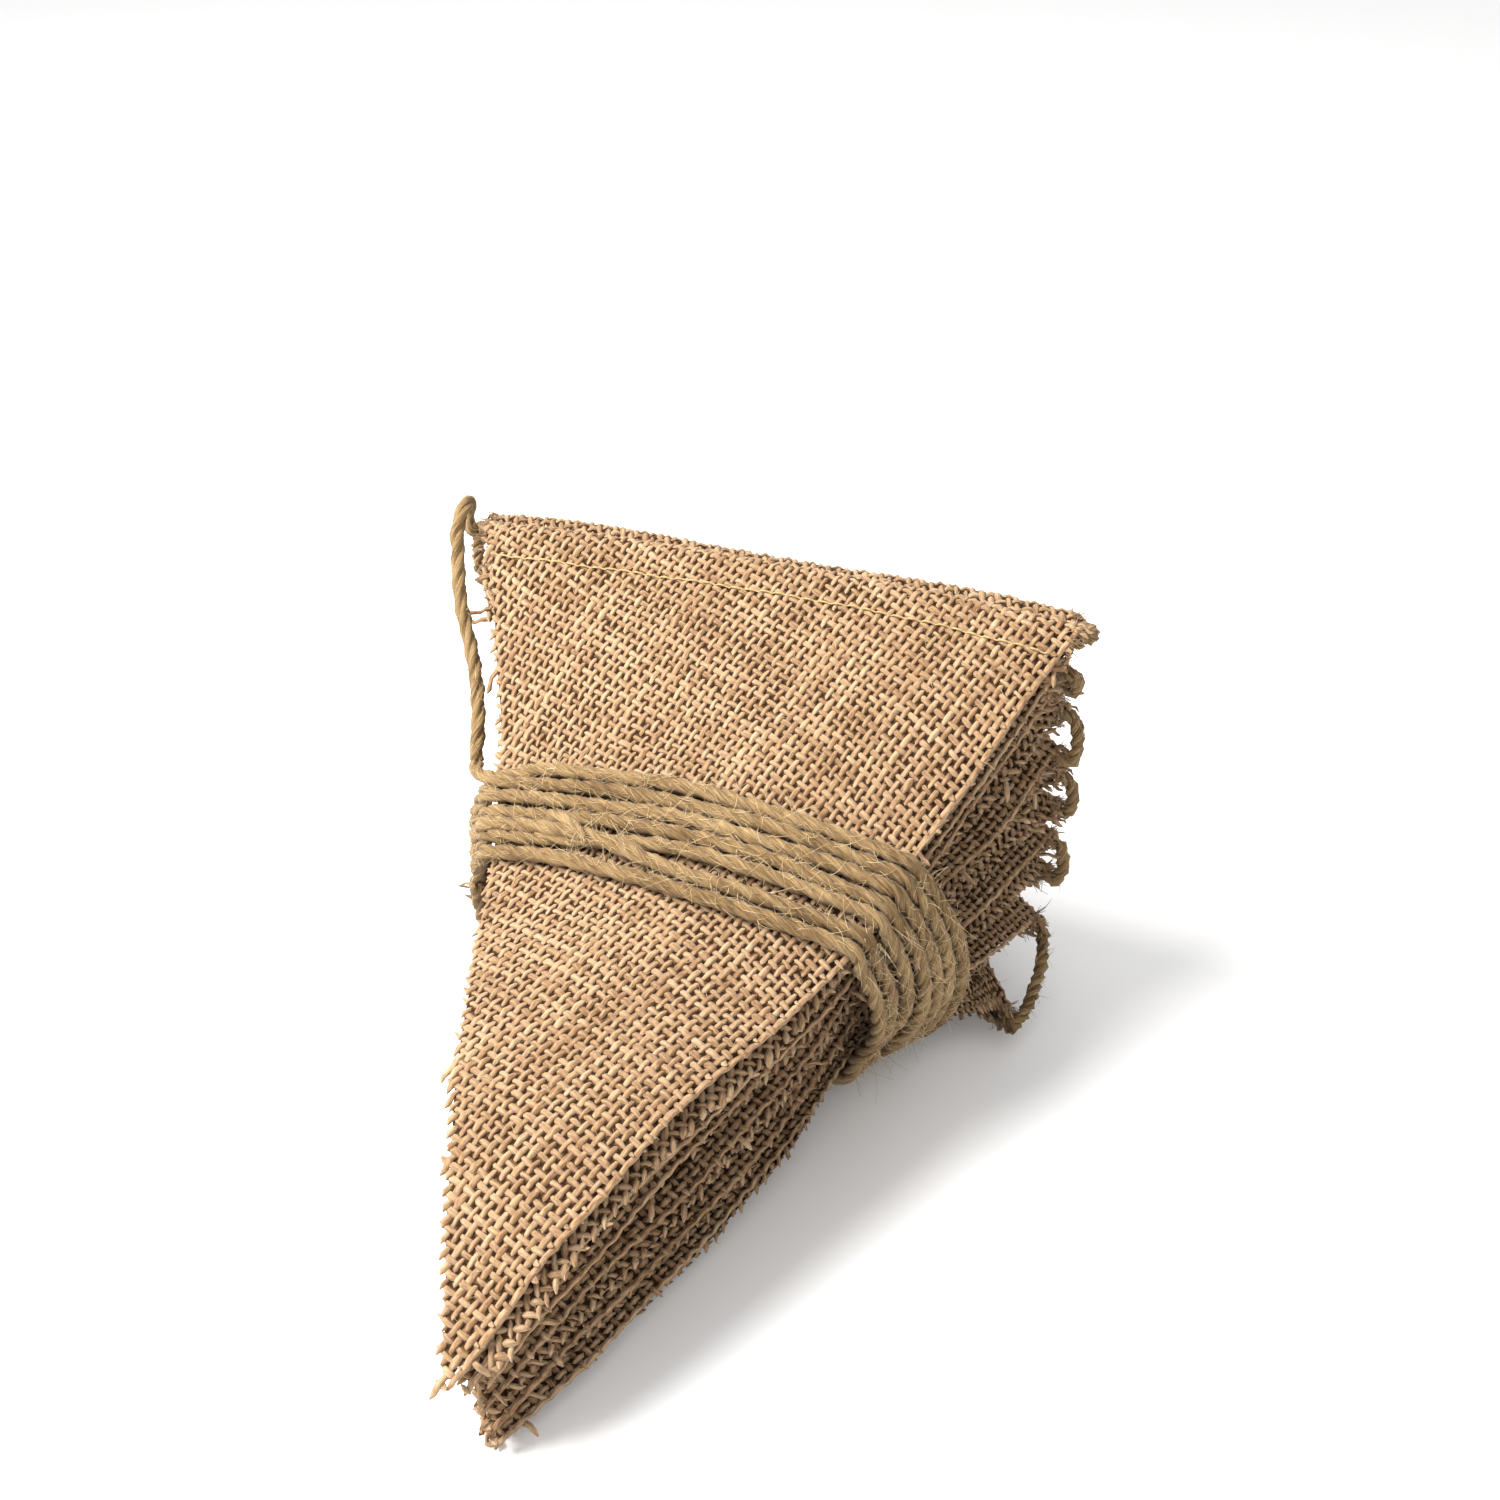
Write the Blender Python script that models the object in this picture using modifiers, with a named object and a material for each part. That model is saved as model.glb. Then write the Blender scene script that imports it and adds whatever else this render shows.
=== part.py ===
"""Burlap pennant bunting, folded up and bound in a bundle.

Twelve triangular pennants lie in a stack with their tips together, towards -Y, and their hems fanned out,
towards +Y. One jute cord runs through every hem, turning back at alternating sides of the stack. Its free
tail leaves the top hem on the left, runs down to the waist of the stack and is wound round it seven times.

The stacked sheets are one family of surfaces: a height over each place (x, y), read between the top sheet's
height and the bottom sheet's. The sheets therefore never cross, whatever way each pennant is skewed.
Lengths in the tables are in millimetres, and the scene is in metres.
"""

import math
from collections import namedtuple

import bmesh
import bpy
import numpy as np

MM = 0.001

# The cut cloth and the twine
PENNANT_WIDTH = 150.0
PENNANT_LENGTH = 200.0
CLOTH = 1.15
HEM_DEPTH = 17.0
HEM_CORD = 2.8
TWINE = 3.6
GAP = 0.3

# The hem: the cloth turns round the cord in these steps, and the turned flap is stitched under the face
FOLD_SWEEP = math.radians(200)
FOLD_STEPS = 6
FOLD_RADIUS = (HEM_CORD / 2 + GAP + CLOTH / 2) / math.cos(FOLD_SWEEP / FOLD_STEPS / 2)
FLAP_DROP = CLOTH + 0.45
FLAP_SPREAD = 0.96

# The hem's direction at each place is that of the line between the places this far to its two sides
HEM_LINE_REACH = 0.2

# The turned flap behind the fold, as (distance back from the fold, distance below the face)
FLAP_PATH = ((9.0, FLAP_DROP + 0.6), (13.5, FLAP_DROP), (HEM_DEPTH, FLAP_DROP + 0.1))

# The grid of each pennant: its rows, where its columns run between its two cut edges, and where its tip starts
ROWS_TO_HEM = 13
COLUMN_PLACES = (-1.0, -0.8, -0.44, 0.0, 0.44, 0.8, 1.0)
TIP_START = 3.0
RAGGED_EDGE = 0.5

# Heights of the stack along the bundle: the top sheet at its edges, how far its middle crowns above them, the
# bottom sheet at its middle, and how far the bottom sheet's edges lift above it, or droop below it.
Station = namedtuple("Station", "y top_edge top_crown bottom bottom_lift")
STATIONS = (
    Station(-118, 6.0, 0.0, 0.575, 0.0),
    Station(-95, 25.0, 0.5, 0.575, 0.0),
    Station(-74, 42.0, 1.0, 0.575, 0.0),
    Station(-51, 50.5, 2.0, 0.575, 0.0),
    Station(-27, 54.0, 4.5, 0.6, 6.0),
    Station(-5, 56.0, 8.5, 1.2, 14.0),
    Station(8, 59.0, 10.0, 3.6, 16.0),
    Station(20, 64.0, 11.0, 4.3, 17.0),
    Station(40, 79.0, 8.5, 4.3, 15.0),
    Station(58, 97.0, 4.5, 7.0, 4.0),
    Station(66, 105.0, 3.0, 10.0, -2.6),
    Station(75, 114.0, 1.5, 13.0, -5.6),
    Station(95, 133.0, 1.0, 23.0, -17.0),
    Station(118, 156.0, 1.0, 28.0, -21.0),
)
HEIGHT_STEP = 1.0
SMOOTHING_REACH = 12
LIFT_POWER = 2.2
WAVE_SHARE = 0.10

# How each pennant lies, from the top one down: where its tip is, how far its hem is shifted to the right, its
# share of the stack's height, and how far its hem's corners are drawn back towards the tip.
Pennant = namedtuple("Pennant", "tip_x tip_y hem_x level corner_pull")
PENNANTS = (
    Pennant(0.5, -97.5, -1.0, 1.000, 0.5),
    Pennant(8.5, -92.0, -3.5, 0.910, 1.0),
    Pennant(3.0, -95.0, -5.0, 0.822, 1.0),
    Pennant(5.5, -92.5, -5.5, 0.731, 2.0),
    Pennant(3.0, -91.5, -5.0, 0.642, 1.0),
    Pennant(5.0, -94.0, -4.0, 0.551, 2.0),
    Pennant(7.0, -92.0, -4.5, 0.460, 3.0),
    Pennant(4.0, -91.0, -4.5, 0.369, 3.0),
    Pennant(5.5, -92.5, -5.0, 0.275, 4.0),
    Pennant(4.0, -91.5, -5.0, 0.184, 6.0),
    Pennant(6.0, -92.0, -6.0, 0.092, 11.0),
    Pennant(4.0, -91.0, -7.0, 0.000, 39.0),
)

# The hems' shift grows with this power of the way along a pennant, and the pull on their corners with the others
SHIFT_POWER = 3
PULL_POWER_ALONG = 5
PULL_POWER_ACROSS = 3

# The twine draws the stack's sides in by this share, and the lowest pennant's by the low share more, at this
# place and over this reach along the bundle
WAIST_SHARE = 0.04
WAIST_SHARE_LOW = 0.14
WAIST_Y = 32.0
WAIST_REACH = 26.0

# The winding: its middle plane crosses the top of the stack here and leans back by this angle
WINDING_TURNS = 7
WINDING_TOP_Y = 16.0
WINDING_TOP_Z = 73.0
WINDING_LEAN = math.radians(20)
WINDING_STEPS = 48
WINDING_CLEARANCE = CLOTH / 2 + 0.95

# Each turn's outline across the band, as shares of the twine's radius: place, and height over the core line
TURN_OUTLINE = ((-1.0, 0.25), (-0.55, 0.85), (0.55, 0.85))
INNER_COLUMNS = 8

# The cord: how far it runs straight past a hem's end, and how far its loops reach at least, with the share of
# their height that they reach further
EXIT_RUN = 1.4
LOOP_REACH = 1.1
LOOP_REACH_SHARE = 0.26
LOOP_STEPS = 6

# The cord's free tail: it curls over outside the top hem's left end, then runs straight down to the winding
TAIL_ROUTE = (
    (-78.1, 75.5, 111.0),
    (-79.8, 75.5, 111.2),
    (-81.4, 76.6, 112.6),
    (-81.8, 78.2, 115.0),
    (-81.2, 77.3, 117.3),
    (-80.4, 74.8, 118.0),
    (-80.2, 71.6, 116.4),
    (-80.2, 69.4, 113.0),
    (-79.2, 67.2, 109.4),
    (-77.6, 63.6, 104.4),
    (-75.6, 60.2, 99.6),
    (-73.0, 57.0, 95.4),
    (-70.0, 53.5, 91.0),
    (-66.0, 48.0, 84.8),
    (-62.6, 41.8, 78.6),
    (-60.6, 36.4, 73.6),
    (-59.4, 33.6, 71.2),
)
TAIL_POINT_SPACING = 3.2

# Middle of the bundle's outline, seen from above, which becomes the part's origin
CENTRE = (-3.6, 5.4, 0.0)


def clear_scene():
    for obj in list(bpy.data.objects):
        bpy.data.objects.remove(obj, do_unlink=True)


def make_material(name, colour, roughness):
    material = bpy.data.materials.new(name)
    material.use_nodes = True
    shader = material.node_tree.nodes["Principled BSDF"]
    shader.inputs["Base Color"].default_value = (*colour, 1.0)
    shader.inputs["Roughness"].default_value = roughness
    shader.inputs["Metallic"].default_value = 0.0
    return material


def in_scene(points):
    """Points of the bundle, in millimetres, as places in the scene."""
    return (np.asarray(points) - CENTRE) * MM


def smoothed(name):
    """One column of STATIONS, read every HEIGHT_STEP along the bundle and rounded at its corners."""
    places = [station.y for station in STATIONS]
    fine = np.arange(places[0], places[-1] + HEIGHT_STEP, HEIGHT_STEP)
    raw = np.interp(fine, places, [getattr(station, name) for station in STATIONS])
    reach = SMOOTHING_REACH
    window = np.hanning(2 * reach + 3)[1:-1]
    before = 2 * raw[0] - raw[reach:0:-1]
    after = 2 * raw[-1] - raw[-2:-reach - 2:-1]
    rounded = np.convolve(np.concatenate([before, raw, after]), window / window.sum(), "valid")
    return fine, rounded


PROFILES = {name: smoothed(name) for name in ("top_edge", "top_crown", "bottom", "bottom_lift")}


def half_width(y):
    """Half the stack's nominal width at a place along it."""
    share = (y + 112) / 185
    return np.clip(share * PENNANT_WIDTH / 2, 14, 78)


def height(index, x, y):
    """Height of a pennant's middle surface over the place (x, y)."""
    across = np.clip(x / half_width(y), -1.2, 1.2)
    profile = {name: np.interp(y, *PROFILES[name]) for name in PROFILES}
    top = profile["top_edge"] + profile["top_crown"] * (1 - across**2)
    bottom = profile["bottom"] + profile["bottom_lift"] * np.abs(across) ** LIFT_POWER
    level = PENNANTS[index].level
    if index in (0, len(PENNANTS) - 1):
        wave = 0.0
    else:
        pitch = (top - bottom) / (len(PENNANTS) - 1)
        turn = 1 if index % 2 else -1
        wave = WAVE_SHARE * pitch * np.sin(x / 21 + 2.4 * index + turn * y / 37)
    return bottom + level * (top - bottom) + wave


def spine(index):
    """Run along the cloth from the tip, against y, down the middle of a pennant."""
    tip_y = PENNANTS[index].tip_y
    y = np.arange(tip_y, tip_y + PENNANT_LENGTH + 15, 0.25)
    z = height(index, np.zeros_like(y), y)
    run = np.concatenate([[0.0], np.cumsum(np.hypot(np.diff(y), np.diff(z)))])
    return run, y


SPINES = [spine(index) for index in range(len(PENNANTS))]


def surface(index, across, along, spread):
    """Places on a pennant's middle surface: across from -1 to 1, along from the tip, spread as a share."""
    pennant = PENNANTS[index]
    share = np.minimum(along / PENNANT_LENGTH, 1.0)
    y = np.interp(along, *SPINES[index])
    squeeze = WAIST_SHARE + WAIST_SHARE_LOW * (1 - pennant.level) ** 2
    waist = 1 - squeeze * np.exp(-(((y - WAIST_Y) / WAIST_REACH) ** 2))
    y = y - pennant.corner_pull * np.abs(across) ** PULL_POWER_ACROSS * share**PULL_POWER_ALONG
    ragged = RAGGED_EDGE * np.sin(along / 9.0 + 1.7 * index) * across**3 * (share < 1)
    middle = pennant.tip_x * (1 - share) + pennant.hem_x * share**SHIFT_POWER
    x = middle + across * spread * waist * PENNANT_WIDTH / 2 + ragged
    return np.stack([x, y, height(index, x, y)], axis=-1)


def on_surface(index, place):
    """The place moved up or down onto a pennant's middle surface."""
    place = place.copy()
    place[..., 2] = height(index, place[..., 0], place[..., 1])
    return place


def normal(index, place):
    """Upward unit normal of a pennant's surface, from small steps to the right and ahead."""
    step = 0.5
    right = on_surface(index, place + np.array([step, 0.0, 0.0])) - place
    ahead = on_surface(index, place + np.array([0.0, step, 0.0])) - place
    upward = np.cross(right, ahead)
    return upward / np.linalg.norm(upward, axis=-1, keepdims=True)


def hem_frame(index, across):
    """Where the cloth starts to turn round the cord, with the unit axes there: ahead, square to the hem, and up."""
    along = np.full_like(across, PENNANT_LENGTH - FOLD_RADIUS)
    start = surface(index, across, along, 1.0)
    further = np.minimum(across + HEM_LINE_REACH, 1.0)
    nearer = np.maximum(across - HEM_LINE_REACH, -1.0)
    beside = surface(index, further, along, 1.0) - surface(index, nearer, along, 1.0)
    upward = normal(index, start)
    ahead = np.cross(upward, beside)
    return start, ahead / np.linalg.norm(ahead, axis=-1, keepdims=True), upward


def hem_rows(index, across):
    """Rows of points where the cloth turns round the cord and comes back under itself."""
    start, ahead, upward = hem_frame(index, across)
    rows = []
    for angle in np.linspace(0, FOLD_SWEEP, FOLD_STEPS + 1):
        middle = start - FOLD_RADIUS * upward
        rows.append(middle + FOLD_RADIUS * (math.sin(angle) * ahead + math.cos(angle) * upward))
    start, ahead, upward = hem_frame(index, across * FLAP_SPREAD)
    for back, below in FLAP_PATH:
        face = on_surface(index, start - (back - FOLD_RADIUS) * ahead)
        rows.append(face - below * normal(index, face))
    return rows


def pennant_grid(index):
    """Rows of points on a pennant's middle surface, from the tip to the fold and back under it."""
    across = np.array(COLUMN_PLACES)
    rows = []
    for along in np.linspace(TIP_START, PENNANT_LENGTH - FOLD_RADIUS, ROWS_TO_HEM, endpoint=False):
        rows.append(surface(index, across, np.full_like(across, along), along / PENNANT_LENGTH))
    return np.array(rows + hem_rows(index, across))


def channel_middle(index, across):
    """Middle of the cord inside a hem."""
    start, ahead, upward = hem_frame(index, across)
    return start - FOLD_RADIUS * upward


def link(collection, name, data, material):
    obj = bpy.data.objects.new(name, data)
    data.materials.append(material)
    collection.objects.link(obj)
    return obj


def make_pennant(index, collection, material):
    """One pennant: an open sheet of cloth, thickened evenly to both sides."""
    grid = in_scene(pennant_grid(index))
    rows, columns = grid.shape[:2]
    sheet = bmesh.new()
    bmesh.ops.create_grid(sheet, x_segments=columns - 1, y_segments=rows - 1, size=0.5)
    for vertex in sheet.verts:
        column = round((vertex.co.x + 0.5) * (columns - 1))
        row = round((vertex.co.y + 0.5) * (rows - 1))
        vertex.co = grid[row, column]
    mesh = bpy.data.meshes.new(f"pennant_{index + 1:02d}")
    sheet.to_mesh(mesh)
    sheet.free()
    mesh.shade_smooth()
    obj = link(collection, mesh.name, mesh, material)
    thick = obj.modifiers.new("cloth thickness", "SOLIDIFY")
    thick.thickness = CLOTH * MM
    thick.offset = 0.0
    thick.use_even_offset = True


def winding_frame():
    """Origin of the winding's middle plane, and its unit axes: across, up in the plane, along the bundle."""
    origin = np.array([0.0, WINDING_TOP_Y, WINDING_TOP_Z])
    along = np.array([0.0, math.cos(WINDING_LEAN), math.sin(WINDING_LEAN)])
    across = np.array([1.0, 0.0, 0.0])
    return origin, across, np.cross(across, along), along


def crossing(grids, offset):
    """Where the grids' lines and diagonals cross the plane at this offset along the bundle, in its axes."""
    origin, across, up, along = winding_frame()
    found = []
    for grid in grids:
        lines = ((grid[:-1], grid[1:]), (grid[:, :-1], grid[:, 1:]))
        diagonals = ((grid[:-1, :-1], grid[1:, 1:]), (grid[:-1, 1:], grid[1:, :-1]))
        for start, end in lines + diagonals:
            before = (start - origin) @ along - offset
            after = (end - origin) @ along - offset
            cut = before * after < 0
            share = before[cut] / (before[cut] - after[cut])
            place = start[cut] + (end[cut] - start[cut]) * share[:, None] - origin
            found.append(np.stack([place @ across, place @ up], axis=1))
    return np.concatenate(found)


def taut_loop(points, clearance, steps):
    """A loop pulled tight round the points at this clearance, from its top, closer stepped where it bends."""
    angles = math.pi / 2 + np.linspace(0, 2 * math.pi, 721)[:-1]
    outward = np.stack([np.cos(angles), np.sin(angles)], axis=1)
    furthest = points[np.argmax(points @ outward.T, axis=0)]
    path = furthest + clearance * outward
    sides = np.linalg.norm(np.diff(np.vstack([path, path[:1]]), axis=0), axis=1)
    measure = np.concatenate([[0.0], np.cumsum(sides / sides.sum() + 1.0 / len(sides))])
    wanted = np.linspace(0, measure[-1], steps, endpoint=False)
    nodes = np.vstack([path, path[:1]])
    turned = np.vstack([outward, outward[:1]])
    places = np.stack([np.interp(wanted, measure, nodes[:, axis]) for axis in (0, 1)], axis=1)
    facing = np.stack([np.interp(wanted, measure, turned[:, axis]) for axis in (0, 1)], axis=1)
    return places, facing / np.linalg.norm(facing, axis=1, keepdims=True)


def band_outline():
    """Outline of the band of turns, as (place across the band, distance out from its inner face)."""
    radius = TWINE / 2
    first = -(WINDING_TURNS - 1) / 2 * TWINE
    outer = []
    for turn in range(WINDING_TURNS):
        middle = first + turn * TWINE
        outer += [(middle + place * radius, radius * (1 + rise)) for place, rise in TURN_OUTLINE]
    last = first + (WINDING_TURNS - 1) * TWINE + radius
    outer.append((last, radius * (1 + TURN_OUTLINE[0][1])))
    inner = [(place, 0.0) for place in np.linspace(last, first - radius, INNER_COLUMNS)]
    return outer + inner


def make_winding(grids, collection, material):
    """The winding as one closed ring: its ridged outline carried round the stack, fitted turn by turn."""
    origin, across, up, along = winding_frame()
    outline = band_outline()
    ring = bmesh.new()
    rows = []
    for place, out in outline:
        loop, facing = taut_loop(crossing(grids, place), WINDING_CLEARANCE, WINDING_STEPS)
        flat = loop + out * facing
        points = origin + flat[:, :1] * across + flat[:, 1:] * up + place * along
        points[:, 2] = np.maximum(points[:, 2], 0.0)
        rows.append([ring.verts.new(point) for point in in_scene(points)])
    for row, next_row in zip(rows, rows[1:] + rows[:1]):
        for step in range(WINDING_STEPS):
            following = (step + 1) % WINDING_STEPS
            ring.faces.new((row[step], row[following], next_row[following], next_row[step]))
    bmesh.ops.recalc_face_normals(ring, faces=ring.faces)
    mesh = bpy.data.meshes.new("twine_winding")
    ring.to_mesh(mesh)
    ring.free()
    mesh.shade_smooth()
    link(collection, mesh.name, mesh, material)


def direction_of(step):
    return step / np.linalg.norm(step)


def cord_route():
    """The cord's middle line through all the hems, from the top hem's left end, turning back at each side."""
    across = np.array(COLUMN_PLACES)
    route = []
    for index in range(len(PENNANTS)):
        direction = 1 if index % 2 == 0 else -1
        run = channel_middle(index, across * direction)
        first, last = direction_of(run[0] - run[1]), direction_of(run[-1] - run[-2])
        run[0] += first * EXIT_RUN
        run[-1] += last * EXIT_RUN
        if route:
            above = route[-1]
            middle, half = (above + run[0]) / 2, (above - run[0]) / 2
            reach = LOOP_REACH + LOOP_REACH_SHARE * np.linalg.norm(half)
            outward = direction_of(leaving + first) * reach
            for angle in np.linspace(0, math.pi, LOOP_STEPS + 1)[1:-1]:
                route.append(middle + half * math.cos(angle) + outward * math.sin(angle))
        route += list(run)
        leaving = last
    return np.array(route)


def smooth_route(points, spacing):
    """Places at this spacing on a smooth curve through the points."""
    points = np.asarray(points, float)
    padded = np.vstack([2 * points[0] - points[1], points, 2 * points[-1] - points[-2]])
    curve = []
    for before, start, end, after in zip(padded, padded[1:], padded[2:], padded[3:]):
        for share in np.linspace(0, 1, 12, endpoint=False):
            bend = 2 * before - 5 * start + 4 * end - after
            twist = 3 * start - before - 3 * end + after
            curve.append(start + (end - before) * share / 2 + bend * share**2 / 2 + twist * share**3 / 2)
    curve = np.array(curve + [points[-1]])
    run = np.concatenate([[0.0], np.cumsum(np.linalg.norm(np.diff(curve, axis=0), axis=1))])
    wanted = np.linspace(0, run[-1], max(2, round(run[-1] / spacing) + 1))
    return np.stack([np.interp(wanted, run, curve[:, axis]) for axis in range(3)], axis=1)


def make_cord(name, route, diameter, collection, material):
    """A round cord: a line of points with a bevel and filled ends."""
    curve = bpy.data.curves.new(name, "CURVE")
    curve.dimensions = "3D"
    curve.bevel_depth = diameter / 2 * MM
    curve.bevel_resolution = 2
    curve.use_fill_caps = True
    line = curve.splines.new("POLY")
    line.points.add(len(route) - 1)
    for point, place in zip(line.points, in_scene(route)):
        point.co = (*place, 1.0)
    link(collection, name, curve, material)


def main():
    clear_scene()
    collection = bpy.data.collections.new("burlap_bunting_bundle")
    bpy.context.scene.collection.children.link(collection)
    burlap = make_material("burlap", (0.56, 0.38, 0.21), 0.92)
    twine = make_material("jute twine", (0.47, 0.33, 0.17), 0.88)
    grids = [pennant_grid(index) for index in range(len(PENNANTS))]
    for index in range(len(PENNANTS)):
        make_pennant(index, collection, burlap)
    make_winding(grids, collection, twine)
    make_cord("hem_cord", cord_route(), HEM_CORD, collection, twine)
    make_cord("twine_run", smooth_route(TAIL_ROUTE, TAIL_POINT_SPACING), TWINE, collection, twine)


main()
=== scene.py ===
"""Looks of the burlap pennant bunting bundle: woven cloth, twisted twine, stitching, loose threads and hairs.

The stack's form repeats the solids': one family of surfaces gives the height of each pennant over each place.
Every pennant is a dark sheet of painted shade, standing for the shadow seen through the weave's holes, that
carries real woven yarns where they can be seen. Flat cloth is
measured in millimetres: u across from a pennant's middle, v along it from its tip, through the hem's fold and
back along the turned flap.
"""

import math
from collections import namedtuple

import bpy
import numpy as np
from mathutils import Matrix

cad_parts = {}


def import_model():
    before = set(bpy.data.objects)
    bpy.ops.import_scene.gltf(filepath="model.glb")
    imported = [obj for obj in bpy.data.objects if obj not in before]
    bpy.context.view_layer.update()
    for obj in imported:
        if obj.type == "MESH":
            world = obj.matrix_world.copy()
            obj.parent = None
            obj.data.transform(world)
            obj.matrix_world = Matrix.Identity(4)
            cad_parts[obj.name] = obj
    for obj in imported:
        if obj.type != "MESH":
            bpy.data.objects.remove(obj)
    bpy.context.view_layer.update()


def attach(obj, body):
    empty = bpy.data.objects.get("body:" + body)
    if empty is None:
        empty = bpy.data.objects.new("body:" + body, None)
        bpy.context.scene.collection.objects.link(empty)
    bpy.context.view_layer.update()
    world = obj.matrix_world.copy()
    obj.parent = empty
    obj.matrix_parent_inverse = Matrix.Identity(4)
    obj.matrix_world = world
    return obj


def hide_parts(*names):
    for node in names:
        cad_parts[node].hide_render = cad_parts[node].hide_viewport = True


MM = 0.001

# The cut cloth and the twine
PENNANT_WIDTH = 150.0
PENNANT_LENGTH = 200.0
CLOTH = 1.15
HEM_DEPTH = 17.0
HEM_CORD = 2.8
TWINE = 3.6
GAP = 0.3

# The hem: the cloth turns round the cord in this sweep, and the turned flap is stitched under the face
FOLD_SWEEP = math.radians(200)
FOLD_STEPS = 6
FOLD_RADIUS = (HEM_CORD / 2 + GAP + CLOTH / 2) / math.cos(FOLD_SWEEP / FOLD_STEPS / 2)
FLAP_DROP = CLOTH + 0.45
FLAP_SPREAD = 0.96
FLAP_PATH = ((9.0, FLAP_DROP + 0.6), (13.5, FLAP_DROP), (HEM_DEPTH, FLAP_DROP + 0.1))
HEM_LINE_REACH = 15.0
FOLD_START = PENNANT_LENGTH - FOLD_RADIUS
FOLD_END = FOLD_START + FOLD_RADIUS * FOLD_SWEEP
STITCH_BACK = 8.5

# Heights of the stack along the bundle: the top sheet at its edges, how far its middle crowns above them, the
# bottom sheet at its middle, and how far the bottom sheet's edges lift above it, or droop below it.
Station = namedtuple("Station", "y top_edge top_crown bottom bottom_lift")
STATIONS = (
    Station(-118, 6.0, 0.0, 0.575, 0.0),
    Station(-95, 25.0, 0.5, 0.575, 0.0),
    Station(-74, 42.0, 1.0, 0.575, 0.0),
    Station(-51, 50.5, 2.0, 0.575, 0.0),
    Station(-27, 54.0, 4.5, 0.6, 6.0),
    Station(-5, 56.0, 8.5, 1.2, 14.0),
    Station(8, 59.0, 10.0, 3.6, 16.0),
    Station(20, 64.0, 11.0, 4.3, 17.0),
    Station(40, 79.0, 8.5, 4.3, 15.0),
    Station(58, 97.0, 4.5, 7.0, 4.0),
    Station(66, 105.0, 3.0, 10.0, -2.6),
    Station(75, 114.0, 1.5, 13.0, -5.6),
    Station(95, 133.0, 1.0, 23.0, -17.0),
    Station(118, 156.0, 1.0, 28.0, -21.0),
)
HEIGHT_STEP = 1.0
SMOOTHING_REACH = 12
LIFT_POWER = 2.2
WAVE_SHARE = 0.10

# How each pennant lies, from the top one down: where its tip is, how far its hem is shifted to the right, its
# share of the stack's height, and how far its hem's corners are drawn back towards the tip.
Pennant = namedtuple("Pennant", "tip_x tip_y hem_x level corner_pull")
PENNANTS = (
    Pennant(0.5, -97.5, -1.0, 1.000, 0.5),
    Pennant(8.5, -92.0, -3.5, 0.910, 1.0),
    Pennant(3.0, -95.0, -5.0, 0.822, 1.0),
    Pennant(5.5, -92.5, -5.5, 0.731, 2.0),
    Pennant(3.0, -91.5, -5.0, 0.642, 1.0),
    Pennant(5.0, -94.0, -4.0, 0.551, 2.0),
    Pennant(7.0, -92.0, -4.5, 0.460, 3.0),
    Pennant(4.0, -91.0, -4.5, 0.369, 3.0),
    Pennant(5.5, -92.5, -5.0, 0.275, 4.0),
    Pennant(4.0, -91.5, -5.0, 0.184, 6.0),
    Pennant(6.0, -92.0, -6.0, 0.092, 11.0),
    Pennant(4.0, -91.0, -7.0, 0.000, 39.0),
)

# The hems' shift grows with this power of the way along a pennant, and the pull on their corners with the
# other two powers, along it and across it
SHIFT_POWER = 3
PULL_POWER_ALONG = 5
PULL_POWER_ACROSS = 3

# The twine draws the stack's sides in by this share, and the lowest pennant's by the low share more, at this
# place and over this reach along the bundle
WAIST_SHARE = 0.04
WAIST_SHARE_LOW = 0.14
WAIST_Y = 32.0
WAIST_REACH = 26.0

# The weave: pitch of the thick yarns and of the thin ones, their half thicknesses and how far they wave
WARP_PITCH = 1.95
WEFT_PITCH = 2.3
WARP_RADIUS = 0.68
WEFT_RADIUS = 0.66
WARP_WAVE = 0.42
WEFT_WAVE = 0.46
YARN_FLATNESS = 0.64
FRAY_USUAL = 1.4
FRAY_LONG = 5.0
FRAY_LONG_SHARE = 0.05
FRAY_HEM = 3.0

HAIR_RADIUS = 0.07

# Direction of the thick yarns on each pennant, in degrees from its hem
WARP_ANGLES = (69.5, 110.5, 69.5, 69.5, 110.5, 69.5, 110.5, 110.5, 69.5, 110.5, 69.5, 110.5)

# Which cloth below the top one carries real yarns: a band at the cut edges, widening, and the hem
EDGE_BAND = 5.0
EDGE_BAND_GROWTH = 3.0
SECOND_EDGE_BAND = 12.0
HEM_BAND = 8.0
FLAP_BAND = 5.0

# The winding: its middle plane crosses the top of the stack here and leans back by this angle
WINDING_TURNS = 7
WINDING_TOP_Y = 16.0
WINDING_TOP_Z = 73.0
WINDING_LEAN = math.radians(20)
WINDING_CENTRE = (-1.0, -37.0)
WINDING_CLEARANCE = CLOTH / 2 + 0.55 + TWINE / 2
TURN_POINTS = 260

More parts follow.
